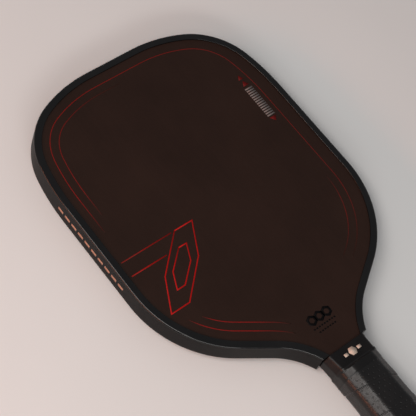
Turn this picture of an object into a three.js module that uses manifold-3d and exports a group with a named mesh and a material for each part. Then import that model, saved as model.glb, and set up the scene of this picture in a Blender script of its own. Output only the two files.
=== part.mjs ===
// A thermoformed pickleball paddle, lying on its back with the head towards +Y.
// X runs across the head, Y along the paddle and Z through its thickness, in millimetres.
// The origin is under the middle of the box that holds the whole paddle.
import * as THREE from "three";
import { mergeVertices } from "three/addons/utils/BufferGeometryUtils.js";
import Module from "manifold-3d";

const wasm = await Module();
wasm.setup();

// Whole paddle
const OVERALL_LENGTH = 406.4;
const MID_HEIGHT = 17; // of the middle plane above the surface that the butt cap rests on
const HEAD_END = OVERALL_LENGTH / 2;

// Half of the guard's inner lip, from the middle of the head's end round to the collar: tangent arcs
// as [radius, degrees], turning in where the degrees are positive, and straight runs as [0, length].
const LIP_HALF = [
  [0, 21],
  [106, 22.5],
  [50, 55],
  [170, 12],
  [0, 77],
  [79, 57.5],
  [0, 25.5],
  [63, -42],
];
const ARC_STEP = 5.5; // degrees between the points of an arc
const COLLAR_TOP = -67.4; // Y where the head ends and the collar begins

// Head, from the faces inwards
const PANEL = 16; // thickness over both skins
const SKIN = 0.5;
const FOAM_WIDTH = 8;
const CELL = 22; // across the flats of a honeycomb cell
const CELL_WALL = 2;
const GAP = 0.3;

// Edge guard, as offsets from the inner lip
const GUARD_EDGE = 5.6;
const GUARD_WALL = 1;
const GUARD_LIP = 1; // thickness of a lip over the face
const GUARD_ROUND = 0.9;
const PANEL_EDGE = 4.1;
const TAPE = 0.3;

// Handle
const COLLAR_LENGTH = 14.4;
const TONGUE_END = -196;
const TONGUE_HALF = [15.4, 12.5, 9.4]; // half width under the collar's top, under the grip, in the cap
const GRIP_TOP = COLLAR_TOP - COLLAR_LENGTH - GAP;
const GRIP_END = -196.4;
const GRIP_THICK = 2.1;
const GRIP_TAPE = 0.2;
const GRIP_HALF = [18, 14.5]; // half width and half height of the wound handle
const FINISH_WIDTH = 6;
const CAP_SKIRT = -176; // Y where the butt cap's skirt begins
const CAP_WALL = 1.5;
const CAP_FLARE = [20.6, 17];
const BADGE_RADIUS = 10;
const UNDER_GRIP = GRIP_THICK + GRIP_TAPE + 2 * GAP; // from the wound surface down to the pallets

const plastic = (color, roughness) => new THREE.MeshStandardMaterial({ color, roughness, metalness: 0 });
const steel = () => new THREE.MeshStandardMaterial({ color: 0xb8b8b8, roughness: 0.3, metalness: 1 });
const group = new THREE.Group();

function add(name, geometry, material) {
  const mesh = new THREE.Mesh(geometry, material);
  mesh.name = name;
  group.add(mesh);
  return mesh;
}

function solid(geometry) {
  const bare = geometry.index ? geometry.toNonIndexed() : geometry.clone();
  bare.deleteAttribute("normal");
  bare.deleteAttribute("uv");
  const merged = mergeVertices(bare, 1e-4);
  const vertProperties = new Float32Array(merged.attributes.position.array);
  return new wasm.Manifold(
    new wasm.Mesh({ numProp: 3, vertProperties, triVerts: new Uint32Array(merged.index.array) }),
  );
}

function geometryOf(manifold) {
  const { vertProperties, triVerts } = manifold.getMesh();
  const geometry = new THREE.BufferGeometry();
  geometry.setAttribute("position", new THREE.BufferAttribute(new Float32Array(vertProperties), 3));
  geometry.setIndex(new THREE.BufferAttribute(new Uint32Array(triVerts), 1));
  return geometry;
}

// A block between two corners.
function block(low, high) {
  const size = high.map((value, axis) => value - low[axis]);
  const geometry = new THREE.BoxGeometry(...size);
  return geometry.translate(...low.map((value, axis) => value + size[axis] / 2));
}

// Points and outward directions along the right half of the inner lip, the head's end first.
function lipHalf() {
  let [x, y, heading] = [0, HEAD_END - GUARD_EDGE, 0];
  const points = [{ x, y, heading }];
  for (const [radius, amount] of LIP_HALF) {
    if (radius === 0) {
      x += Math.cos(heading) * amount;
      y -= Math.sin(heading) * amount;
      points.push({ x, y, heading });
      continue;
    }
    const turn = Math.sign(amount) * radius;
    const steps = Math.ceil(Math.abs(amount) / ARC_STEP);
    const step = THREE.MathUtils.degToRad(amount / steps);
    for (let i = 0; i < steps; i++) {
      x += turn * (Math.sin(heading + step) - Math.sin(heading));
      y += turn * (Math.cos(heading + step) - Math.cos(heading));
      heading += step;
      points.push({ x, y, heading });
    }
  }
  return points;
}

const half = lipHalf();

// The closed outline at an offset outside the lip, with the tongue run down the handle to the given Y.
function outline(offset, endY) {
  const all = half.map(({ x, y, heading }) => [
    x + Math.sin(heading) * offset,
    y + Math.cos(heading) * offset,
  ]);
  const right = all.filter(([, y]) => y > COLLAR_TOP);
  const [[x0, y0], [x1, y1]] = [right.at(-1), all[right.length]];
  right.push([x0 + ((x1 - x0) * (COLLAR_TOP - y0)) / (y1 - y0), COLLAR_TOP]);
  const [top, middle, tip] = TONGUE_HALF.map((width) => width + offset - PANEL_EDGE);
  right.push([top, COLLAR_TOP], [middle, GRIP_TOP], [middle, CAP_SKIRT + GAP], [tip, CAP_SKIRT + GAP]);
  right.push([tip, endY]);
  const left = right.slice(1).map(([x, y]) => [-x, y]).reverse();
  return new THREE.Shape([...right, ...left].map(([x, y]) => new THREE.Vector2(x, y)));
}

// The outline as a slab between two heights above the middle plane.
function slab(offset, endY, low, high, round = 0) {
  const geometry = new THREE.ExtrudeGeometry(outline(offset, endY), {
    depth: high - low - 2 * round,
    bevelEnabled: round > 0,
    bevelThickness: round,
    bevelSize: round,
    bevelOffset: -round,
    bevelSegments: 2,
  });
  return geometry.translate(0, 0, MID_HEIGHT + low + round);
}

const headOnly = (lowest) => solid(block([-150, lowest, -10], [150, HEAD_END + 10, 60]));

// Head
function makeHead() {
  const face = PANEL / 2;
  const core = face - SKIN;
  const carbon = () => plastic(0x2c1f1d, 0.62);
  add("front_face_sheet", slab(PANEL_EDGE, TONGUE_END, core, face), carbon());
  add("back_face_sheet", slab(PANEL_EDGE, TONGUE_END, -face, -core), carbon());

  const coreEdge = PANEL_EDGE - FOAM_WIDTH;
  const coreEnd = COLLAR_TOP + GAP;
  const slabCore = solid(slab(coreEdge, TONGUE_END, -core, core)).intersect(headOnly(coreEnd));
  const cells = cellsInside(coreEdge - CELL_WALL, coreEnd + CELL_WALL, core);
  add("honeycomb_core", geometryOf(slabCore.subtract(cells)), plastic(0xe4e4dc, 0.6));

  const ring = solid(slab(PANEL_EDGE, TONGUE_END, -core, core))
    .subtract(solid(slab(coreEdge + GAP, TONGUE_END - 10, -core - 5, core + 5)))
    .intersect(headOnly(coreEnd));
  add("edge_foam", geometryOf(ring), plastic(0xd8cfa8, 0.8));

  const tongue = solid(slab(PANEL_EDGE, TONGUE_END, -core, core));
  add("handle_core", geometryOf(tongue.subtract(headOnly(coreEnd - GAP))), plastic(0x3a3a3a, 0.8));
}

// Honeycomb cells that lie wholly inside the core, as one cutter.
function cellsInside(offset, lowest, reach) {
  const border = outline(offset, TONGUE_END).getPoints();
  const inside = (x, y) =>
    y > lowest &&
    border.reduce((odd, a, i) => {
      const b = border[(i + 1) % border.length];
      const crosses = a.y > y !== b.y > y && x < ((b.x - a.x) * (y - a.y)) / (b.y - a.y) + a.x;
      return crosses ? !odd : odd;
    }, false);
  const radius = CELL / Math.sqrt(3);
  const corner = (i) => [radius * Math.cos((i * Math.PI) / 3), radius * Math.sin((i * Math.PI) / 3)];
  const corners = [0, 1, 2, 3, 4, 5].map(corner);
  const hexagon = new THREE.Shape(corners.map(([x, y]) => new THREE.Vector2(x, y)));
  const cell = new THREE.ExtrudeGeometry(hexagon, { depth: 2 * reach + 4, bevelEnabled: false });
  const rowPitch = CELL + CELL_WALL;
  const columnPitch = (rowPitch * Math.sqrt(3)) / 2;
  const found = [];
  for (let column = -5; column <= 5; column++) {
    for (let row = -4; row <= 10; row++) {
      const x = column * columnPitch;
      const y = (row + (Math.abs(column) % 2) / 2) * rowPitch;
      if (corners.every(([dx, dy]) => inside(x + dx, y + dy)))
        found.push(solid(cell.clone().translate(x, y, MID_HEIGHT - reach - 2)));
    }
  }
  return wasm.Manifold.union(found);
}

// Edge guard: a U-channel whose open ends meet the collar, over its bonding tape
function makeGuard() {
  const face = PANEL / 2;
  const head = headOnly(COLLAR_TOP + GAP);
  const wallInside = GUARD_EDGE - GUARD_WALL;
  const guard = solid(slab(GUARD_EDGE, TONGUE_END, -face - GUARD_LIP, face + GUARD_LIP, GUARD_ROUND))
    .subtract(solid(slab(wallInside, TONGUE_END - 10, -face, face)))
    .subtract(solid(slab(0, TONGUE_END - 10, -face - 5, face + 5)))
    .intersect(head);
  add("edge_guard", geometryOf(guard), plastic(0x0b0b0c, 0.38));

  const tapeInside = (PANEL_EDGE + wallInside - TAPE) / 2;
  const tape = solid(slab(tapeInside + TAPE, TONGUE_END, -face + 1, face - 1))
    .subtract(solid(slab(tapeInside, TONGUE_END - 10, -face - 5, face + 5)))
    .intersect(head);
  add("edge_guard_tape", geometryOf(tape), plastic(0xcfcfcf, 0.7));
}

// Eight-sided section with rounded corners. Facets are the half widths of the front and of the side.
function octagon([width, height], [front, side], round) {
  const corners = [
    [front, height],
    [-front, height],
    [-width, side],
    [-width, -side],
    [-front, -height],
    [front, -height],
    [width, -side],
    [width, side],
  ].map(([x, z]) => new THREE.Vector2(x, z));
  const path = new THREE.Path();
  corners.forEach((corner, i) => {
    const before = corners.at(i - 1).clone().sub(corner).setLength(round).add(corner);
    const after = corners[(i + 1) % 8].clone().sub(corner).setLength(round).add(corner);
    if (i === 0) path.moveTo(before.x, before.y);
    else path.lineTo(before.x, before.y);
    path.quadraticCurveTo(corner.x, corner.y, after.x, after.y);
  });
  return path.getPoints(3);
}

// A section run down the handle from one Y to another, growing by the scale that grow gives at a Y.
function run(section, hole, fromY, toY, steps = 1, grow = () => [1, 1]) {
  const shape = new THREE.Shape(section);
  if (hole) shape.holes.push(new THREE.Path(hole));
  const geometry = new THREE.ExtrudeGeometry(shape, { depth: fromY - toY, steps, bevelEnabled: false });
  geometry.rotateX(Math.PI / 2).translate(0, fromY, 0);
  const place = geometry.attributes.position;
  for (let i = 0; i < place.count; i++) {
    const [sx, sz] = grow(place.getY(i));
    place.setXYZ(i, place.getX(i) * sx, place.getY(i), MID_HEIGHT + place.getZ(i) * sz);
  }
  return geometry;
}

const FACETS = [8.8, 8]; // of the wound handle
const inset = (amount) => [GRIP_HALF[0] - amount, GRIP_HALF[1] - amount];
const BEVEL = Math.atan2(GRIP_HALF[1] - FACETS[1], GRIP_HALF[0] - FACETS[0]);
const SHRINK = [Math.tan(BEVEL / 2), Math.tan((Math.PI / 2 - BEVEL) / 2)];
const facetInset = (amount) => FACETS.map((value, i) => value - amount * SHRINK[i]);
const handleSection = (amount, round = 2) => octagon(inset(amount), facetInset(amount), round);

// How much wider the handle is at the butt than above it: a smooth flare below the skirt's start.
function flare(y) {
  const amount = THREE.MathUtils.smoothstep(-y, -CAP_SKIRT, -GRIP_END);
  return CAP_FLARE.map((end, axis) => 1 + amount * ((end - 0.8) / GRIP_HALF[axis] - 1));
}

// A wire staple that stands in the front facet of the skirt, its legs pointing in. The clearance
// makes the hole that it sits in.
function staple(x, y, front, clearance = 0) {
  const [crown, leg, wire] = [4.5 + clearance, 3.2 + clearance, 0.9];
  const innerHalf = crown - wire - 2 * clearance;
  const shape = new THREE.Shape(
    [
      [-crown, clearance],
      [crown, clearance],
      [crown, -leg],
      [innerHalf, -leg],
      [innerHalf, -wire - clearance],
      [-innerHalf, -wire - clearance],
      [-innerHalf, -leg],
      [-crown, -leg],
    ].map(([u, v]) => new THREE.Vector2(u, v)),
  );
  const depth = wire + 2 * clearance;
  const geometry = new THREE.ExtrudeGeometry(shape, { depth, bevelEnabled: false });
  geometry.rotateX(Math.PI / 2).translate(0, depth / 2, 0);
  if (!front) geometry.rotateY(Math.PI);
  const surface = (GRIP_HALF[1] - UNDER_GRIP) * flare(y)[1] - 0.1;
  return geometry.translate(x, y, MID_HEIGHT + (front ? surface : -surface));
}

// Handle, from the tongue outwards
function makeHandle() {
  const face = PANEL / 2;
  const staples = [1, -1].flatMap((side) => [CAP_SKIRT - 5, CAP_SKIRT - 13].map((y) => [0, y, side > 0]));
  const holes = wasm.Manifold.union(staples.map(([x, y, front]) => solid(staple(x, y, front, GAP))));
  const tackPlace = [0, CAP_SKIRT + 8, true];
  const tackHole = solid(staple(...tackPlace, GAP));
  const keep = (low, high) => solid(block([-60, -260, MID_HEIGHT + low], [60, 60, MID_HEIGHT + high]));

  const pair = solid(run(handleSection(UNDER_GRIP), null, GRIP_TOP, CAP_SKIRT + GAP))
    .add(solid(run(handleSection(UNDER_GRIP + CAP_WALL + GAP), null, CAP_SKIRT + 1, TONGUE_END)))
    .subtract(solid(slab(PANEL_EDGE + GAP, TONGUE_END - 10, -face, face)))
    .subtract(holes)
    .subtract(tackHole);
  const foam = () => plastic(0x4a4a48, 0.9);
  add("front_handle_pallet", geometryOf(pair.intersect(keep(GAP / 2, 40))), foam());
  add("back_handle_pallet", geometryOf(pair.intersect(keep(-40, -GAP / 2))), foam());

  staples.forEach(([x, y, front], i) => add(`butt_staple_${i + 1}`, staple(x, y, front), steel()));
  add("grip_start_tack", staple(...tackPlace), steel());

  makeCap(holes);
  const tapeInside = handleSection(UNDER_GRIP - GAP / 2);
  const tapeOutside = handleSection(UNDER_GRIP - GAP / 2 - GRIP_TAPE);
  add("grip_tape", run(tapeOutside, tapeInside, GRIP_TOP, CAP_SKIRT, 1), plastic(0xd0d0c8, 0.6));
  const leather = handleSection(0, 3);
  const lining = handleSection(GRIP_THICK, 2);
  add("grip_wrap", run(leather, lining, GRIP_TOP, GRIP_END, 10, flare), plastic(0x141213, 0.45));
}

// Butt cap: a skirt under the grip's last turns, a flared rim, and a recess for the blank badge
function makeCap(holes) {
  const skirt = solid(run(handleSection(UNDER_GRIP), null, CAP_SKIRT, GRIP_END, 6, flare));
  const rim = solid(run(octagon(CAP_FLARE, [10, 9.4], 4), null, GRIP_END - GAP, -HEAD_END));
  const neck = solid(run(handleSection(UNDER_GRIP), null, GRIP_END + 1, GRIP_END - 1));
  const hollow = solid(run(handleSection(UNDER_GRIP + CAP_WALL), null, CAP_SKIRT + 5, TONGUE_END - GAP));
  const recess = new THREE.CylinderGeometry(BADGE_RADIUS, BADGE_RADIUS, 3, 32);
  recess.translate(0, -HEAD_END, MID_HEIGHT);
  const cap = skirt.add(neck).add(rim).subtract(hollow).subtract(holes).subtract(solid(recess));
  add("butt_cap", geometryOf(cap), plastic(0x101011, 0.35));
  const badge = new THREE.CylinderGeometry(BADGE_RADIUS - GAP, BADGE_RADIUS - GAP, 1, 32);
  badge.translate(0, -HEAD_END + 0.9, MID_HEIGHT);
  add("butt_cap_badge", badge, plastic(0x55565a, 0.3));
}

// Collar and finishing tape
function makeCollar() {
  const outer = octagon([19.5, 11.2], [16, 4.8], 2.5);
  const end = COLLAR_TOP - COLLAR_LENGTH;
  const rise = (y) => {
    const amount = (COLLAR_TOP - y) / COLLAR_LENGTH;
    return [1 - 0.05 * amount, THREE.MathUtils.lerp(9.3, 11.2, amount) / 11.2];
  };
  const sleeve = solid(run(outer, null, COLLAR_TOP, end, 2, rise));
  const panel = solid(slab(PANEL_EDGE + GAP, TONGUE_END - 10, -PANEL / 2, PANEL / 2));
  add("throat_collar", geometryOf(sleeve.subtract(panel)), plastic(0x161213, 0.3));
  const tapeOuter = handleSection(-0.25, 3);
  const tapeInner = handleSection(-0.05, 3);
  add("finishing_tape", run(tapeOuter, tapeInner, GRIP_TOP, GRIP_TOP - FINISH_WIDTH), plastic(0x131112, 0.4));
}

makeHead();
makeGuard();
makeHandle();
makeCollar();

export default group;
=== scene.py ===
import math

import bmesh
import bpy
import numpy as np
from mathutils import Matrix, Vector


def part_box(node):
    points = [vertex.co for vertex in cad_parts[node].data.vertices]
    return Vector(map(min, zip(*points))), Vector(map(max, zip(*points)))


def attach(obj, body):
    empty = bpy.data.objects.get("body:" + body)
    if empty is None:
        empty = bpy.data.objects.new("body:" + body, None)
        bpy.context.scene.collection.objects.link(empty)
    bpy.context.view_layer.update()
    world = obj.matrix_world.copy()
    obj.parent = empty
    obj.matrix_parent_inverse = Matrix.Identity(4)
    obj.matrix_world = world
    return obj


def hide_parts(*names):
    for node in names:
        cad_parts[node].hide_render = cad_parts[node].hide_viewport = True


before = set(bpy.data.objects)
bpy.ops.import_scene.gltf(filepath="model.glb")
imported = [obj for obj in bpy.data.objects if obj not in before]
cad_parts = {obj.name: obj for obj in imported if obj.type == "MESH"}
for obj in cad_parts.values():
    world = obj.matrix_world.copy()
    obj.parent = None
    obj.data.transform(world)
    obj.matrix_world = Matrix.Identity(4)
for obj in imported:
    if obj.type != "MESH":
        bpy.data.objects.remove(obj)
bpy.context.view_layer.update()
mm = 0.001


# Carbon skins
# Two sheets of raw carbon fibre, moulded hot against a peel ply whose fine cloth stays printed in the
# resin. They are bonded over the core, and their tongues run on down the handle.


class Wire:
    """An output of a shader node, which takes part in sums as a number does."""

    def __init__(self, tree, socket=None):
        self.tree, self.socket = tree, socket

    def node(self, kind, settings=None, inputs=None, output=0):
        made = self.tree.nodes.new("ShaderNode" + kind)
        for name, value in (settings or {}).items():
            setattr(made, name, value)
        for name, value in (inputs or {}).items():
            if isinstance(value, Wire):
                self.tree.links.new(value.socket, made.inputs[name])
            else:
                made.inputs[name].default_value = value
        return Wire(self.tree, made.outputs[output] if made.outputs else None)

    def math(self, operation, *values):
        return self.node("Math", {"operation": operation}, dict(enumerate(values)))

    def __add__(self, other):
        return self.math("ADD", self, other)

    def __sub__(self, other):
        return self.math("SUBTRACT", self, other)

    def __mul__(self, other):
        return self.math("MULTIPLY", self, other)

    def __truediv__(self, other):
        return self.math("DIVIDE", self, other)

    __radd__, __rmul__ = __add__, __mul__

    def part(self, axis):
        """One axis of a vector."""
        return self.node("SeparateXYZ", inputs={0: self}, output="XYZ".index(axis))

    def stretched(self, x, y, z):
        """A vector with each axis scaled, so that a pattern can have its own grain direction."""
        return self.node("VectorMath", {"operation": "MULTIPLY"}, {0: self, 1: (x, y, z)})

    def noise(self, scale, detail=2.0, roughness=0.5):
        inputs = {"Vector": self, "Scale": scale, "Detail": detail, "Roughness": roughness}
        return self.node("TexNoise", inputs=inputs)

    def blend(self, low, high):
        """A colour that goes from low to high as this value goes from 0 to 1."""
        return self.node("Mix", {"data_type": "RGBA"}, {0: self, 6: low, 7: high}, output=2)

    def ramp(self, start, end):
        """0 below start, 1 above end and smooth between them."""
        inputs = {0: self, 1: start, 2: end, 3: 0.0, 4: 1.0}
        return self.node("MapRange", {"interpolation_type": "SMOOTHSTEP"}, inputs)

    def bump(self, strength, depth):
        return self.node("Bump", inputs={"Height": self, "Strength": strength, "Distance": depth})


def finish(name, look):
    """A material whose shader takes the inputs that look returns for the object's own coordinates."""
    material = bpy.data.materials.new(name)
    material.use_nodes = True
    tree = material.node_tree
    tree.nodes.clear()
    place = Wire(tree).node("TexCoord", output=3)
    shader = place.node("BsdfPrincipled", inputs=look(place))
    place.node("OutputMaterial", inputs={"Surface": shader})
    return material


def carbon_look(place):
    fibres = place.stretched(1, 0.04, 1).noise(900, 3)
    mottle = place.noise(24, 3)
    grit = place.noise(1500, 2, 0.7)
    shade = 0.18 * fibres + 0.42 * mottle + 0.4 * grit
    colour = shade.ramp(0.3, 0.7).blend((0.0150, 0.0062, 0.0036, 1), (0.0225, 0.0098, 0.0062, 1))
    height = grit * 0.6 + fibres * 0.25
    return {
        "Base Color": colour,
        "Roughness": 0.52 + 0.16 * mottle,
        "Specular IOR Level": 0.18,
        "Normal": height.bump(0.5, 0.09 * mm),
    }


carbon = finish("raw_carbon", carbon_look)


def refinish(node, material):
    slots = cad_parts[node].data.materials
    slots.clear()
    slots.append(material)


for sheet in ("front_face_sheet", "back_face_sheet"):
    refinish(sheet, carbon)


# Edge guard
# A U-channel of black plastic, moulded to the head's outline and bonded over the panel's rim. Its two
# lips lie on the faces, its shoulders are rounded, and a thin web closes each square end at the collar.
lip_half = [
    (0, 21),
    (106, 22.5),
    (50, 55),
    (170, 12),
    (0, 77),
    (79, 57.5),
    (0, 25.5),
    (63, -42),
]  # the inner lip from the head's end to the collar: arcs as radius and degrees, or 0 and a length
guard_low, guard_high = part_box("edge_guard")
face_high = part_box("front_face_sheet")[1].z
face_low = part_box("back_face_sheet")[0].z
middle = (face_high + face_low) / 2
collar_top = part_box("throat_collar")[1].y
guard_width = 5.6 * mm
guard_end = collar_top + 0.05 * mm
end_run = 2 * mm


def lip_line(offset=0.0):
    """The lip's whole line from the left end to the right, moved out by the offset. Each row is a
    point's X and Y, the direction that leads outwards there, and the length along the lip from the
    middle of the head's end, which is below 0 on the left."""
    x, y, heading, length = 0.0, guard_high.y / mm - guard_width / mm, 0.0, 0.0
    rows = [(x, y, heading, length)]
    for radius, amount in lip_half:
        if radius == 0:
            steps, stride = math.ceil(amount / 2), 0.0
        else:
            steps = math.ceil(abs(amount) / 1.2)
            stride = math.radians(amount / steps)
        for _ in range(steps):
            chord = amount / steps if radius == 0 else 2 * radius * math.sin(abs(stride) / 2)
            x += chord * math.cos(heading + stride / 2)
            y -= chord * math.sin(heading + stride / 2)
            heading += stride
            length += amount / steps if radius == 0 else radius * abs(stride)
            rows.append((x, y, heading, length))
    x, y, heading, length = np.array(rows).T
    out = np.stack([np.sin(heading), np.cos(heading)], axis=1)
    right = np.column_stack([np.stack([x, y], axis=1) * mm + out * offset, out, length * mm])
    right = right[right[:, 1] > guard_end + end_run]
    left = right[:0:-1] * (-1, 1, -1, 1, -1)
    return np.concatenate([left, right])


def lip_run(start, end, offset=0.0, step=1.5 * mm):
    """The rows of lip_line between two lengths along it, evenly spaced."""
    rows = lip_line(offset)
    even = np.linspace(start, end, 1 + math.ceil((end - start) / step))
    return np.column_stack([np.interp(even, rows[:, 4], column) for column in rows.T])


def add_piece(name, points, faces, materials, sharp=40):
    mesh = bpy.data.meshes.new(name)
    mesh.from_pydata([tuple(p) for p in points], [], [tuple(f) for f in faces])
    shape = bmesh.new()
    shape.from_mesh(mesh)
    bmesh.ops.recalc_face_normals(shape, faces=shape.faces)
    shape.to_mesh(mesh)
    shape.free()
    mesh.polygons.foreach_set("use_smooth", [True] * len(mesh.polygons))
    mesh.set_sharp_from_angle(angle=math.radians(sharp))
    for material in materials:
        mesh.materials.append(material)
    piece = bpy.data.objects.new(name, mesh)
    bpy.context.scene.collection.objects.link(piece)
    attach(piece, "root")
    return piece


def loft(name, rings, materials, closed=False, sharp=40):
    """A skin over a row of rings with the same number of points. It ends in two lids, or closed joins
    the last ring to the first."""
    rings = np.asarray(rings)
    count, around = rings.shape[:2]
    index = np.arange(count * around).reshape(count, around)
    index = np.concatenate([index, index[:1]]) if closed else index
    turned = np.roll(index, -1, axis=1)
    faces = np.stack([index[:-1], turned[:-1], turned[1:], index[1:]], axis=-1).reshape(-1, 4).tolist()
    if not closed:
        faces += [index[0].tolist(), index[-1].tolist()]
    return add_piece(name, rings.reshape(-1, 3), faces, materials, sharp)


def arc(centre, radius, start, end, steps=5):
    """Points of an arc, with its angles in degrees."""
    angles = np.radians(np.linspace(start, end, steps + 1))
    return [(centre[0] + radius * math.cos(a), centre[1] + radius * math.sin(a)) for a in angles]


def guard_profile():
    """The channel's section, as distances out from the lip and up from the middle plane."""
    top = guard_high.z - middle
    shoulder, edge, wall = 1.5 * mm, 0.4 * mm, 1.0 * mm
    seat = face_high - middle + 0.01 * mm
    upper = [(0, seat), *arc((edge, top - edge), edge, 180, 90, 4)]
    upper += [(guard_width * 0.35, top), (guard_width - shoulder - 0.2 * mm, top - 0.02 * mm)]
    upper += arc((guard_width - shoulder, top - shoulder - 0.03 * mm), shoulder, 84, 2, 12)
    outside = upper + [(guard_width, top * f) for f in (0.5, 0.2)]
    inside = [(guard_width - wall, seat)]
    mirrored = [(u, -w) for u, w in reversed(outside)]
    return np.array(outside + mirrored + [(u, -w) for u, w in inside] + inside)


def plastic_look(roughness, specular, texture):
    """Black moulded plastic: its base roughness, its shine and how deep its fine texture is."""

    def look(place):
        grain = place.noise(2600, 2, 0.6)
        wear = place.noise(45, 4)
        shade = wear.ramp(0.35, 0.8)
        return {
            "Base Color": shade.blend((0.0022, 0.0020, 0.0021, 1), (0.0045, 0.0040, 0.0040, 1)),
            "Roughness": roughness + 0.08 * wear + 0.03 * grain,
            "Specular IOR Level": specular,
            "Normal": grain.bump(texture, 0.02 * mm),
        }

    return look


matt_plastic_look = plastic_look(0.44, 0.16, 0.5)
satin_plastic = finish("satin_black_plastic", plastic_look(0.08, 0.42, 0.08))
matt_plastic = finish("matt_black_plastic", matt_plastic_look)
profile = guard_profile()
line = lip_line()
guard_rings = [
    [(x + nx * u, y + ny * u, middle + w) for u, w in profile] for x, y, nx, ny, _ in line
]
end_web = 0.25 * mm
web_profile = profile.copy()
web_profile[-2:, 0] = 0


def end_ring(row, section, end):
    """The channel's section, or its closed end's, carried on to a square cut at a Y."""
    x, y, nx, ny, _ = row
    return [(x + nx * u + ny * (y + ny * u - end) / nx, end, middle + w) for u, w in section]


end_cuts = ((web_profile, guard_end), (web_profile, guard_end + end_web), (profile, guard_end + end_web))
guard_rings = [end_ring(line[0], *cut) for cut in end_cuts] + guard_rings
guard_rings += [end_ring(line[-1], *cut) for cut in reversed(end_cuts)]
guard = loft("edge_guard_moulding", guard_rings, [satin_plastic, matt_plastic])
on_wall = np.abs(np.append(profile[1:, 1], profile[0, 1]) + profile[:, 1]) / 2 < 6.2 * mm
on_wall &= profile[:, 0] > guard_width - 0.1 * mm
walls = np.zeros(len(guard.data.polygons), np.int32)
walls[: len(profile) * (len(guard_rings) - 1)] = np.tile(on_wall, len(guard_rings) - 1)
guard.data.polygons.foreach_set("material_index", walls)
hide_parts("edge_guard")


# Printed marks on the face
# Screen-printed inks on the front skin: fine red pinstripes that follow the guard and fade out at their
# ends, a device of nested hexagons in red, a row of white bars and a black stamp near the throat.
ink_film = 0.03 * mm
ink_height = face_high + 0.02 * mm
lip_top = guard_high.y - guard_width


def ink_look(colour, under_look, gloss=0.48, shine=0.14):
    """Ink over another finish. Where the vertex layer called cover is 0 the finish below shows."""

    def look(place):
        under = under_look(place)
        cover = place.node("Attribute", {"attribute_name": "cover"}, output=2)
        speckle = place.noise(1800, 2).ramp(0.2, 0.45) * 0.25 + 0.75
        under["Base Color"] = (cover * speckle).blend(under["Base Color"], colour)
        under["Roughness"] = gloss + 0.1 * place.noise(900)
        under["Specular IOR Level"] = shine
        under["Normal"] = place.noise(1100, 2).bump(0.25, 0.04 * mm)
        return under

    return look


red_ink = finish("red_ink", ink_look((0.38, 0.003, 0.0025, 1), carbon_look))
dark_red_ink = finish("dark_red_ink", ink_look((0.11, 0.004, 0.003, 1), carbon_look))
white_ink = finish("white_ink", ink_look((0.175, 0.150, 0.142, 1), carbon_look))
black_ink = finish("black_ink", ink_look((0.0022, 0.0020, 0.0022, 1), carbon_look, 0.5, 0.08))


def print_piece(name, strips, patches, ink):
    """A film of ink. A strip is its left edge's points, its right edge's points and how fully the ink
    covers at each pair, and a patch is one filled outline."""
    points, faces, covers = [], [], []
    for left, right, cover in strips:
        start, count = len(points), len(left)
        points += [*left, *right]
        covers += [*cover, *cover]
        faces += [
            (start + i, start + i + 1, start + count + i + 1, start + count + i) for i in range(count - 1)
        ]
    for patch in patches:
        faces.append(range(len(points), len(points) + len(patch)))
        points += patch
        covers += [1.0] * len(patch)
    piece = add_piece(name, points, faces, [ink])
    layer = piece.data.attributes.new("cover", "FLOAT", "POINT")
    layer.data.foreach_set("value", covers)
    film = piece.modifiers.new("film", "SOLIDIFY")
    film.thickness, film.offset = ink_film, 0
    return piece


def stripe(inset, start, end, fade_in, fade_out, strength, width=0.5 * mm):
    """A pinstripe between two lengths along the lip. The print lies a little to the left of the guard's
    line and towards the head's end, and its corners are squarer."""
    rows = lip_run(start, end)
    centre, out, along = rows[:, :2], rows[:, 2:4], rows[:, 4]
    corner = (2 * out[:, :1] * out[:, 1:]) ** 2
    centre = centre + print_shift - out * (inset - corner_reach * corner)
    cover = np.clip((along - start) / fade_in, 0, 1) * np.clip((end - along) / fade_out, 0, 1)
    # The cover also runs from the first strength to the second along the stripe. This is partly print and
    # partly painted light: stronger on the lamp-lit left, fainter to the right.
    cover *= np.interp(along, [start, end], strength)
    sides = [
        np.column_stack([centre + out * half, np.full(len(rows), ink_height)])
        for half in (width / 2, -width / 2)
    ]
    return sides[0], sides[1], cover


print_shift = np.array([-1.75, 1.0]) * mm
corner_reach = 0.8 * mm
outer_inset, inner_inset = 8.6 * mm, 15.1 * mm
# The strengths make the stripes stronger on the head's left side and fainter on its right: partly print,
# partly painted light from the warm lamp on the left.
stripes = [
    stripe(outer_inset, -176 * mm, 306 * mm, 30 * mm, 60 * mm, (0.62, 0.24)),
    stripe(inner_inset, -164 * mm, -2 * mm, 26 * mm, 70 * mm, (0.5, 0.3)),
    stripe(inner_inset, 224 * mm, 310 * mm, 24 * mm, 40 * mm, (0.28, 0.28)),
    stripe(outer_inset, -342 * mm, -264 * mm, 26 * mm, 12 * mm, (0.6, 0.6), 0.6 * mm),
    stripe(inner_inset, -339 * mm, -273 * mm, 26 * mm, 12 * mm, (0.6, 0.6), 0.6 * mm),
]
print_piece("red_pinstripes", stripes, [], red_ink)


def outline_strip(corners, width, closed=True, cover=None):
    """A line of ink along straight runs with mitred corners, in the face's plane."""
    corners = np.array(corners, float)
    count = len(corners)
    edges = []
    for i in range(count):
        after = corners[(i + 1) % count] - corners[i] if closed or i < count - 1 else None
        before = corners[i] - corners[i - 1] if closed or i else after
        after = before if after is None else after
        normals = [np.array([-d[1], d[0]]) / np.hypot(*d) for d in (before, after)]
        mitre = normals[0] + normals[1]
        mitre *= width / (mitre @ normals[0]) / 2
        edges.append((corners[i] + mitre, corners[i] - mitre))
    if closed:
        edges.append(edges[0])
    sides = [[(*edge[side], ink_height) for edge in edges] for side in (0, 1)]
    return sides[0], sides[1], cover or [1.0] * len(edges)


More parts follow.
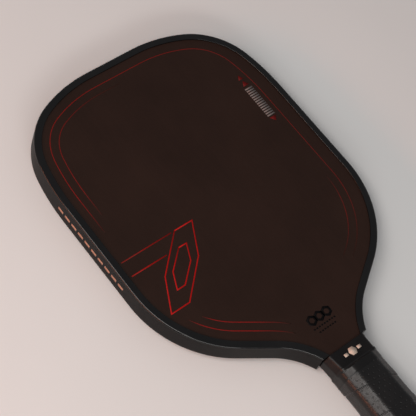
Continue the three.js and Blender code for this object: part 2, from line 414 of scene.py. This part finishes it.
def hexagon(x, y, radius, turn=0):
    angles = [math.radians(60 * i + turn) for i in range(6)]
    return [(x + radius * math.cos(a), y + radius * math.sin(a)) for a in angles]


def raised(outline, height=ink_height):
    return [(x, y, height) for x, y in outline]


def block(x, y, width, depth):
    return [(x, y), (x + width, y), (x + width, y + depth), (x, y + depth)]


def slanted_hexagon(x, y, half_top, half_middle, half_height, slant):
    """Six corners from the top left, clockwise, of a hexagon that leans to the right."""
    lean = half_height * slant
    return [
        (x + lean - half_top, y + half_height),
        (x + lean + half_top, y + half_height),
        (x + half_middle, y),
        (x - lean + half_top, y - half_height),
        (x - lean - half_top, y - half_height),
        (x - half_middle, y),
    ]


device_x, device_y = -59 * mm, lip_top - 156 * mm
device_line, left_edge = 0.9 * mm, -93.5 * mm
big = slanted_hexagon(device_x, device_y, 8 * mm, 15 * mm, 24.5 * mm, 0.85)
small = slanted_hexagon(device_x, device_y, 3.5 * mm, 8 * mm, 12.5 * mm, 0.85)
lead_gap = 3 * mm
big_side = np.interp(small[0][1], (big[5][1], big[0][1]), (big[5][0], big[0][0]))
leads = [[(left_edge, y), (x - lead_gap, y)] for x, y in (big[0], (big_side, small[0][1]))]
device = [
    outline_strip(big, device_line),
    outline_strip(small, device_line),
    outline_strip(leads[0], device_line, False, [0.25, 0.75]),
    outline_strip(leads[1], device_line, False, [0.5, 1.0]),
]
print_piece("red_hexagon_device", device, [], red_ink)

bars_x, bars_y, bar_length = 74 * mm, lip_top - 94 * mm, 7 * mm
bar_pitch, bar_width = 2.04 * mm, 1.15 * mm
bars = [raised(block(bars_x, bars_y + i * bar_pitch, bar_length, bar_width)) for i in range(14)]
print_piece("white_bars", [], bars, white_ink)

arrows = [
    raised([(bars_x + inset, y), (bars_x + bar_length - inset, y), (bars_x + bar_length / 2, y + reach)])
    for inset, y, reach in (
        (0.4 * mm, bars_y - 1.4 * mm, -4.2 * mm),
        (0.8 * mm, bars_y + 30 * mm, 4.6 * mm),
        (1.2 * mm, bars_y + 36 * mm, 4.2 * mm),
    )
]
print_piece("red_bar_arrows", [], arrows, dark_red_ink)

stamp_x, stamp_y = -0.9 * mm, lip_top - 238.3 * mm
ring_pitch, ring_radius, ring_line = 6.9 * mm, 3.3 * mm, 1.9 * mm
rings = [
    outline_strip(hexagon(stamp_x + i * ring_pitch, stamp_y, ring_radius, 30), ring_line)
    for i in (-1, 0, 1)
]
rows_below = []
for dashes, drop in ((9, 6.9 * mm), (7, 10.4 * mm)):
    for i in range(dashes):
        x = stamp_x + (i - dashes / 2) * 2.35 * mm
        rows_below.append(raised(block(x, stamp_y - drop, 1.6 * mm, 1.1 * mm)))
print_piece("black_stamp", rings, rows_below, black_ink)


# Print on the guard's wall
# A line of pale dashes, pad-printed on the outside of the channel on its left side. The ink is a thin
# film of warm white on the matt moulded wall.
wall_ink = finish("pale_wall_ink", ink_look((0.42, 0.22, 0.15, 1), matt_plastic_look, 0.45))
first_dash, dash_pitch, dash_length, dash_height = -213.5 * mm, 7.7 * mm, 5.6 * mm, 2.6 * mm
dashes = []
for i in range(10):
    start = first_dash + i * dash_pitch
    rows = lip_run(start, start + dash_length, guard_width + 0.02 * mm)
    edges = [
        np.column_stack([rows[:, :2], np.full(len(rows), middle + side * dash_height / 2)])
        for side in (-1, 1)
    ]
    dashes.append((*edges, [1.0] * len(rows)))
print_piece("pale_wall_dashes", dashes, [], wall_ink)


# Throat collar
# A moulded rubber sleeve over the panel's neck, between the head and the grip. It is pulled on over the
# joint, its edges are rounded, and it rises a little towards the grip.
section_points = 208
collar_low, collar_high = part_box("throat_collar")


def octagon(width, height, front, side, corner):
    """An eight-sided section with rounded corners: evenly spaced points and outward directions in X
    and Z, from the middle of the back round by the left side. Front and side are the half widths of
    those facets."""
    slope = math.degrees(math.atan2(width - front, height - side))
    turns = [-90, -180 + slope, -180, -180 - slope, -270, -360 + slope, -360, -360 - slope, -450]
    corners = [(-front, -height), (-width, -side), (-width, side), (-front, height)]
    corners += [(-x, -z) for x, z in corners]
    path = [(0, -height, -90)]
    for (x, z), before, after in zip(corners, turns, turns[1:]):
        sum_x = math.cos(math.radians(before)) + math.cos(math.radians(after))
        sum_z = math.sin(math.radians(before)) + math.sin(math.radians(after))
        pull = corner / (1 + math.cos(math.radians(after - before)))
        for angle in np.linspace(before, after, 12):
            path.append(
                (
                    x - sum_x * pull + corner * math.cos(math.radians(angle)),
                    z - sum_z * pull + corner * math.sin(math.radians(angle)),
                    angle,
                )
            )
    path.append((0, -height, -450))
    x, z, angle = np.array(path).T
    length = np.concatenate([[0], np.cumsum(np.hypot(np.diff(x), np.diff(z)))])
    even = np.linspace(0, length[-1], section_points, endpoint=False)
    x, z, angle = (np.interp(even, length, values) for values in (x, z, np.radians(angle)))
    return np.column_stack([x, z, np.cos(angle), np.sin(angle)])


def ring(y, section, out=0.0, grow=(1.0, 1.0)):
    """A section placed at a Y along the handle, moved out by a distance or one for each point."""
    x, z, out_x, out_z = section.T
    heights = middle + z * grow[1] + out_z * out
    return np.column_stack([x * grow[0] + out_x * out, np.full(len(x), y), heights])


collar_heights = 9.3 * mm, 11.2 * mm
collar_waist, collar_wall = 0.2 * mm, 1.2 * mm
collar_sections = [
    octagon(19.5 * mm, collar_heights[0], 16 * mm, 4 * mm, 2.4 * mm),
    octagon(18.5 * mm, collar_heights[1], 15.2 * mm, 4.8 * mm, 3 * mm),
]
collar_length = collar_high.y - collar_low.y
edge = 0.7 * mm
sleeve = [(0, -collar_wall)]
sleeve += arc((edge, -edge), edge, 180, 90, 6)
sleeve += [(d * mm, bead * mm) for d, bead in ((1.2, 0.02), (2.4, 0.0), (3.0, -0.16), (3.5, -0.2))]
sleeve += [(collar_length * f, -collar_waist) for f in (0.3, 0.45, 0.6, 0.75)]
sleeve += [(collar_length - d * mm, bead * mm) for d, bead in ((2.6, -0.2), (2.2, -0.14), (1.6, 0.0))]
sleeve += arc((collar_length - edge, -edge), edge, 90, 0, 6)
sleeve += [(collar_length, -collar_wall)]


def collar_ring(distance, out):
    amount = distance / collar_length
    section = collar_sections[0] * (1 - amount) + collar_sections[1] * amount
    return ring(collar_high.y - distance, section, out)


def rubber_look(place):
    haze = place.noise(70, 4)
    grain = place.noise(2200, 2)
    black, dusty = (0.0030, 0.0026, 0.0026, 1), (0.0060, 0.0050, 0.0049, 1)
    return {
        "Base Color": haze.ramp(0.3, 0.8).blend(black, dusty),
        "Roughness": 0.3 + 0.18 * haze,
        "Specular IOR Level": 0.26,
        "Normal": (grain * 0.4 + haze * 4).bump(0.2, 0.05 * mm),
    }


rubber = finish("gloss_black_rubber", rubber_look)
collar = loft("throat_collar_sleeve", [collar_ring(d, out) for d, out in sleeve], [rubber], closed=True)
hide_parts("throat_collar")


# Grip
# A strip of black perforated synthetic leather with a soft backing, wound down the handle in overlapping
# turns from the butt to the collar. Each turn's lower edge lies on the turn below it.
grip_low, grip_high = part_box("grip_wrap")
cap_low, cap_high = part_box("butt_cap")
grip_section = octagon(17.75 * mm, 14.25 * mm, 8.8 * mm, 8 * mm, 7 * mm)
perimeter = np.hypot(*(np.roll(grip_section[:, :2], -1, axis=0) - grip_section[:, :2]).T).sum()
turn_pitch = 22.5 * mm
first_seam = 7.95 * mm
flare_start = cap_high.y
flare_ends = (19.8 / 18, 16.2 / 14.5)
crease_width = 0.016
round_share = np.arange(section_points) / section_points


def flare(y):
    t = min(max((flare_start - y) / (flare_start - grip_low.y), 0), 1)
    amount = t * t * (3 - 2 * t)
    return [1 + amount * (end - 1) for end in flare_ends]


def smooth(value, start, end):
    t = np.clip((value - start) / (end - start), 0, 1)
    return t * t * (3 - 2 * t)


def wrap_height(distance):
    """How far the wound strip stands out at a distance below the grip's top, for a whole ring."""
    turn = (distance - first_seam) / turn_pitch - round_share
    phase = turn - np.floor(turn)
    lift = smooth(phase, 0.55, 0.86) * (1 - smooth(phase, 0.968, 1.0))
    crease = np.exp(-((phase / crease_width) ** 2)) + np.exp(-(((phase - 1) / crease_width) ** 2))
    pillow = np.sin(np.pi * phase) ** 2
    return (0.45 * lift - 0.22 * crease + 0.12 * pillow) * mm


grip_length = grip_high.y - grip_low.y
grip_steps = np.linspace(1.0 * mm, grip_length - 0.8 * mm, 400)
grip_rings = []
for inset, drop in ((2.0, 0.0), (1.0, 0.0), (0.5, 0.12), (0.2, 0.35), (0.05, 0.65)):
    y = grip_high.y - drop * mm
    grip_rings.append(ring(y, grip_section, wrap_height(drop * mm) - inset * mm))
for distance in grip_steps:
    y = grip_high.y - distance
    grip_rings.append(ring(y, grip_section, wrap_height(distance), flare(y)))
for inset, rise in ((0.15, 0.5), (0.5, 0.15), (1.0, 0.0), (2.0, 0.0)):
    y = grip_low.y + rise * mm
    grip_rings.append(ring(y, grip_section, wrap_height(grip_length) - inset * mm, flare(y)))


def leather_look(place):
    strip = place.node("Attribute", {"attribute_name": "strip"}, output=1)
    across, along = strip.part("Y"), strip.part("X")
    row_pitch, hole_pitch, hole = 3.75 * mm, 4.4 * mm, 0.55 * mm
    rows = across / row_pitch
    row = rows.math("FLOOR", rows)
    cells = along / hole_pitch + row.math("MODULO", row, 2) * 0.5
    off_x = (cells.math("FRACT", cells) - 0.5) * hole_pitch
    off_y = (rows.math("FRACT", rows) - 0.5) * row_pitch
    away = place.math("SQRT", off_x * off_x + off_y * off_y)
    solid = away.ramp(hole * 0.75, hole * 1.25)
    pores = place.noise(1500, 3, 0.65)
    wrinkles = place.stretched(1, 0.5, 1).noise(210, 3)
    rubbed = place.noise(60, 3).ramp(0.35, 0.75)
    skin = rubbed.blend((0.0035, 0.0030, 0.0029, 1), (0.0075, 0.0062, 0.0060, 1))
    return {
        # The perforations are only bumps, and the near-black colour inside them is painted shade of the
        # holes' depth.
        "Base Color": solid.blend((0.0012, 0.0011, 0.0011, 1), skin),
        "Roughness": 0.27 + 0.18 * pores - 0.08 * rubbed,
        "Specular IOR Level": 0.42,
        "Normal": (solid * 2.2 + pores * 0.5 + wrinkles * 0.8).bump(0.55, 0.22 * mm),
    }


leather = finish("perforated_leather", leather_look)
grip = loft("wound_grip", grip_rings, [leather], closed=True, sharp=60)
loops = np.zeros(len(grip.data.loops), np.int32)
grip.data.loops.foreach_get("vertex_index", loops)
columns = (loops % section_points).reshape(-1, 4)
columns[(np.ptp(columns, axis=1) > section_points / 2)[:, None] & (columns == 0)] = section_points
heights = np.zeros(len(grip.data.vertices) * 3)
grip.data.vertices.foreach_get("co", heights)
down = grip_high.y - heights.reshape(-1, 3)[loops, 1]
lean = math.atan2(turn_pitch, perimeter)
round_length = columns.ravel() / section_points * perimeter
strip_place = np.column_stack(
    [
        round_length * math.cos(lean) + down * math.sin(lean),
        down * math.cos(lean) - round_length * math.sin(lean),
        np.zeros(len(loops)),
    ]
)
layer = grip.data.attributes.new("strip", "FLOAT_VECTOR", "CORNER")
layer.data.foreach_set("vector", strip_place.ravel())
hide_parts("grip_wrap")


# Finishing tape
# A short turn of thin black vinyl tape that holds the grip's trimmed end, and runs down over its step
# on to the collar.
step_in = collar_sections[1]
tape_profile = [(-1.9, 0.0, 0.25), (-1.9, 0.0, 0.4), (-0.9, 0.02, 0.42), (-0.35, 0.25, 0.4)]
tape_profile += [(0.05, 0.62, 0.36), (0.45, 0.9, 0.3), (0.9, 1.0, 0.25), (1.6, 1.0, 0.22), (3.0, 1.0, 0.2)]
tape_profile += [(4.6, 1.0, 0.2), (6.0, 1.0, 0.2), (6.08, 1.0, 0.1), (6.0, 1.0, -0.1), (3.0, 1.0, -0.1)]
tape_profile += [(0.6, 0.85, -0.1), (0.0, 0.5, 0.0)]
tape_rings = []
for down_mm, share, out in tape_profile:
    section = step_in * (1 - share) + grip_section * share
    follow = wrap_height(max(down_mm, 0.0) * mm) * share
    tape_rings.append(ring(grip_high.y - down_mm * mm, section, follow + out * mm))


def vinyl_look(place):
    ripple = place.stretched(1, 0.25, 1).noise(330, 3)
    black, dusty = (0.0030, 0.0027, 0.0027, 1), (0.0055, 0.0049, 0.0048, 1)
    return {
        "Base Color": place.noise(80).ramp(0.3, 0.7).blend(black, dusty),
        "Roughness": 0.26 + 0.14 * ripple,
        "Specular IOR Level": 0.34,
        "Normal": ripple.bump(0.35, 0.15 * mm),
    }


vinyl = finish("black_vinyl_tape", vinyl_look)
tape = loft("finishing_tape_turn", tape_rings, [vinyl], closed=True, sharp=60)
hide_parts("finishing_tape")


# Mark on the collar
# A small pale pad print in the middle of the collar's front: a hexagon between two blocks. The
# ink is a thin warm white film that follows the rubber's slope.
collar_print = finish("collar_white_ink", ink_look((0.58, 0.46, 0.38, 1), rubber_look, 0.3))
mark_y = collar_high.y - 6.6 * mm
collar_rise = (collar_heights[1] - collar_heights[0]) / collar_length
mark_base = middle + collar_heights[0] - collar_waist + ink_film
block_length, block_width = 3.3 * mm, 2.4 * mm


def on_collar(outline):
    return [(x, y, mark_base + (collar_high.y - y) * collar_rise) for x, y in outline]


mark = [on_collar(hexagon(0.7 * mm, mark_y, 3.5 * mm))]
mark += [
    on_collar(block(x, mark_y - block_width / 2, block_length, block_width))
    for x in (-7 * mm, 5.1 * mm)
]
print_piece("collar_mark", [], mark, collar_print)


# Butt cap
# A moulded black cap, pushed over the pallets and stapled through its skirt. The grip's start covers the
# skirt, and the flared rim stops the hand. Its end has a shallow round recess for a badge.
rim_section = octagon(20.6 * mm, 17 * mm, 10 * mm, 9.4 * mm, 5 * mm)
rim_top, rim_end = grip_low.y - 0.3 * mm, cap_low.y
lip_round, end_round = 0.8 * mm, 2.6 * mm
badge_radius, recess_depth = 10 * mm, 1.5 * mm
badge_ring_angles = np.arctan2(rim_section[:, 1], rim_section[:, 0])


def disc_ring(y, radius):
    return np.column_stack(
        [
            radius * np.cos(badge_ring_angles),
            np.full(section_points, y),
            middle + radius * np.sin(badge_ring_angles),
        ]
    )


cap_rings = [ring(y, grip_section, -2.2 * mm, flare(y)) for y in (grip_low.y + 6 * mm, grip_low.y)]
cap_rings += [ring(rim_top, rim_section, -1.6 * mm)]
cap_rings += [
    ring(rim_top - d, rim_section, out) for d, out in arc((lip_round, -lip_round), lip_round, 180, 90)
]
cap_rings += [ring(rim_top - d * mm, rim_section, bulge * mm) for d, bulge in ((2.0, 0.0), (3.2, 0.0))]
cap_rings += [
    ring(rim_end + end_round - d, rim_section, out)
    for d, out in arc((0, -end_round), end_round, 90, 0, 9)
]
cap_rings += [ring(rim_end, rim_section, -4.2 * mm)]
cap_rings += [
    disc_ring(rim_end + depth, badge_radius + wider)
    for depth, wider in (
        (0, 1.6 * mm),
        (0, 0.35 * mm),
        (0.1 * mm, 0.1 * mm),
        (0.35 * mm, 0),
        (recess_depth, 0),
        (recess_depth, -badge_radius / 2),
    )
]
cap = loft("butt_cap_moulding", cap_rings, [satin_plastic])
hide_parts("butt_cap")


# Badge
# A blank glossy disc glued into the cap's recess, with a raised rim and a plain moulded hexagon. It is
# grey plastic with a faint brushed grain under a clear coat.
def hexagon_reach(angle):
    """How far a unit hexagon reaches in a direction."""
    folded = (angle + math.pi / 6) % (math.pi / 3) - math.pi / 6
    return 1 / np.cos(folded)


badge_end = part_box("butt_cap_badge")[0].y
badge_edge = badge_radius - 0.3 * mm
field = badge_edge - 1.15 * mm
badge_rings = [
    disc_ring(badge_end + depth, badge_edge - narrower)
    for depth, narrower in (
        (1.0 * mm, badge_edge / 2),
        (1.0 * mm, 0),
        (0.2 * mm, 0),
        (0.05 * mm, 0.06 * mm),
        (0, 0.2 * mm),
        (0, 0.9 * mm),
        (0.22 * mm, 1.1 * mm),
    )
]
for share in np.linspace(0.95, 0.08, 40):
    radius = share * field
    across = radius / hexagon_reach(badge_ring_angles)
    ridge = smooth(across, 4.0 * mm, 4.3 * mm) * (1 - smooth(across, 5.1 * mm, 5.4 * mm))
    level = disc_ring(badge_end + 0.25 * mm, radius)
    level[:, 1] -= ridge * 0.2 * mm
    badge_rings.append(level)


def badge_look(place):
    brushed = place.stretched(0.06, 1, 1).noise(1400, 3)
    return {
        "Base Color": brushed.blend((0.030, 0.030, 0.033, 1), (0.070, 0.070, 0.075, 1)),
        "Roughness": 0.2 + 0.12 * brushed,
        "Coat Weight": 0.4,
        "Normal": brushed.bump(0.15, 0.03 * mm),
    }


badge = loft("butt_cap_disc", badge_rings, [finish("grey_gloss_disc", badge_look)])
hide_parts("butt_cap_badge")


# Pieces inside
# What the skins, the guard and the grip close in: the honeycomb slab, the injected rim foam, the solid
# tongue, the handle's two foam shells, the bonding tapes, and the staples and tack of bright wire.
def inner_look(dark, light, roughness, scale):
    def look(place):
        cells = place.noise(scale, 3, 0.6)
        return {
            "Base Color": cells.ramp(0.3, 0.7).blend((*dark, 1), (*light, 1)),
            "Roughness": roughness + 0.15 * cells,
            "Normal": cells.bump(0.4, 0.2 * mm),
        }

    return look


def wire_look(place):
    drawn = place.stretched(1, 6, 1).noise(900, 2)
    return {
        "Base Color": (0.56, 0.56, 0.55, 1),
        "Metallic": 1.0,
        "Roughness": 0.22 + 0.2 * drawn,
        "Normal": drawn.bump(0.2, 0.02 * mm),
    }


polypropylene = finish("honeycomb_plastic", inner_look((0.66, 0.66, 0.62), (0.8, 0.8, 0.77), 0.5, 300))
rim_foam = finish("expanded_rim_foam", inner_look((0.55, 0.48, 0.3), (0.74, 0.67, 0.46), 0.75, 1400))
handle_foam = finish("moulded_handle_foam", inner_look((0.04, 0.04, 0.04), (0.08, 0.08, 0.08), 0.8, 1600))
adhesive = finish("adhesive_film", inner_look((0.5, 0.5, 0.47), (0.64, 0.64, 0.61), 0.4, 500))
bright_wire = finish("bright_wire", wire_look)
for material, names in (
    (polypropylene, ["honeycomb_core"]),
    (rim_foam, ["edge_foam"]),
    (handle_foam, ["handle_core", "front_handle_pallet", "back_handle_pallet"]),
    (adhesive, ["edge_guard_tape", "grip_tape"]),
    (bright_wire, ["grip_start_tack"] + [f"butt_staple_{i}" for i in (1, 2, 3, 4)]),
):
    for name in names:
        refinish(name, material)


# Studio
# A pale floor, tilted by the degree or so at which the paddle lies on its guard's end and its butt cap,
# with large soft lamps and the camera above the left shoulder of the head.
scene = bpy.context.scene
contact_head = (guard_high.y - 1.5 * mm, guard_low.z)
contact_cap = (cap_low.y + end_round, cap_low.z)
floor_slope = (contact_head[1] - contact_cap[1]) / (contact_head[0] - contact_cap[0])
floor_gap, floor_size = 0.3 * mm, 6.0
floor_corners = [
    (x, y, contact_cap[1] + (y - contact_cap[0]) * floor_slope - floor_gap)
    for x, y in block(-floor_size / 2, -floor_size / 2, floor_size, floor_size)
]
floor_mesh = bpy.data.meshes.new("studio_floor")
floor_mesh.from_pydata(floor_corners, [], [(0, 1, 2, 3)])
floor = bpy.data.objects.new("studio_floor", floor_mesh)
scene.collection.objects.link(floor)


def paper_look(place):
    return {
        "Base Color": place.noise(6, 3).blend((0.70, 0.69, 0.68, 1), (0.75, 0.74, 0.73, 1)),
        "Roughness": 0.85,
        "Specular IOR Level": 0.2,
    }


floor_mesh.materials.append(finish("pale_paper", paper_look))

world = bpy.data.worlds.new("studio_air")
world.use_nodes = True
world.node_tree.nodes["Background"].inputs["Color"].default_value = (0.95, 0.97, 1.0, 1)
world.node_tree.nodes["Background"].inputs["Strength"].default_value = 0.27
scene.world = world


def facing(place, aim):
    """The matrix of a lamp at a place that shines towards its aim."""
    forward = (Vector(aim) - Vector(place)).normalized()
    turn = forward.to_track_quat("-Z", "Y").to_matrix().to_4x4()
    return Matrix.Translation(place) @ turn


def lamp(name, place, aim, size, power, colour):
    light = bpy.data.lights.new(name, "AREA")
    light.shape, light.size, light.size_y = "RECTANGLE", size[0], size[1]
    light.energy, light.color = power, colour
    lamp_object = bpy.data.objects.new(name, light)
    scene.collection.objects.link(lamp_object)
    lamp_object.matrix_world = facing(place, aim)


lamp("key_softbox", (-0.8, 0.05, 1.23), (0, 0, 0), (1.1, 0.5), 10, (1.0, 0.955, 0.92))
lamp("left_strip", (-1.32, 0.39, 0.5), (-0.1, 0.05, 0.03), (1.4, 0.22), 8, (1.0, 0.34, 0.18))
lamp("front_strip", (-0.8, -0.95, 0.72), (-0.05, 0, 0.02), (1.0, 0.25), 6, (1.0, 0.97, 0.95))

camera = bpy.data.cameras.new("camera")
camera.lens, camera.sensor_width = 129.8, 36
camera_object = bpy.data.objects.new("camera", camera)
scene.collection.objects.link(camera_object)
aim = Vector((-14.2, 67.5, 0)) * mm + Vector((0, 0, face_high))
heading, dip, roll, distance = math.radians(60.98), math.radians(57.52), math.radians(25.3), 1.0561
forward = Vector(
    (math.sin(heading) * math.cos(dip), math.cos(heading) * math.cos(dip), -math.sin(dip))
)
level_right = forward.cross(Vector((0, 0, 1))).normalized()
level_up = level_right.cross(forward)
right = level_right * math.cos(roll) + level_up * math.sin(roll)
up = level_up * math.cos(roll) - level_right * math.sin(roll)
turn = Matrix((right, up, -forward)).transposed().to_4x4()
camera_object.matrix_world = Matrix.Translation(aim - forward * distance) @ turn
scene.camera = camera_object
scene.view_settings.view_transform = "Standard"
